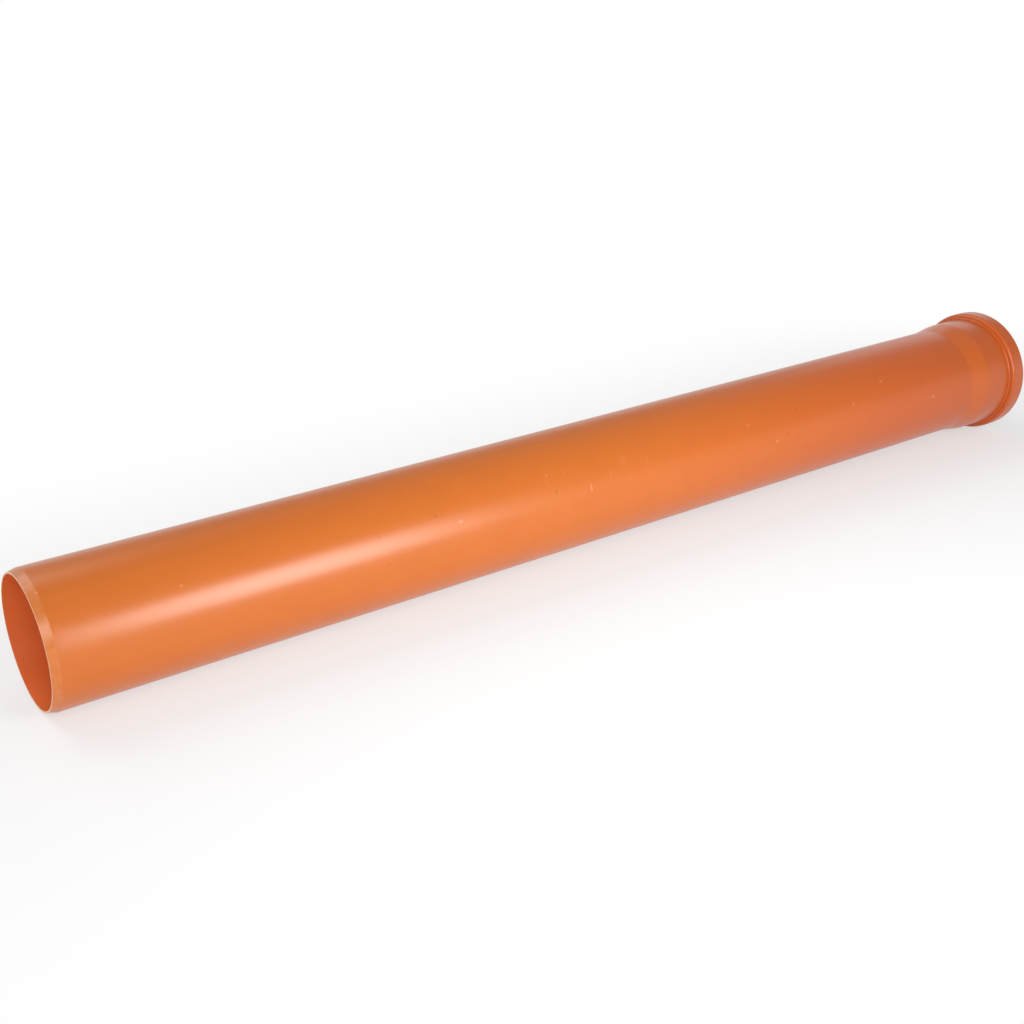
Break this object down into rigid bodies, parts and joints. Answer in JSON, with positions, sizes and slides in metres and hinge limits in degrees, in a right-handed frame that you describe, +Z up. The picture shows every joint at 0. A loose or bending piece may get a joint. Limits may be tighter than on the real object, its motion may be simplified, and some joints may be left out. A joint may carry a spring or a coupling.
{
  "type": "plastic sewer pipe",
  "caption": "Orange-brown PVC sewer pipe with a chamfered spigot end and a flared push-fit socket whose raised bead holds a rubber lip seal.",
  "frame": {"origin": "centre of the bounding box at floor level, with the pipe lying at rest on its spigot edge and its bead", "axes": "+X along the pipe from the spigot to the socket, rising 0.52 degrees because the bead is wider than the barrel; +Z up"},
  "size_m": [1.0774, 0.1288, 0.1291],
  "materials": {
    "pvc": "satin extruded PVC-U, orange-brown through the whole wall, with light handling marks",
    "seal_rubber": "smooth moulded black elastomer"
  },
  "bodies": {
    "root": {"pipe": "pvc", "lip_seal": "seal_rubber"}
  },
  "joints": []
}
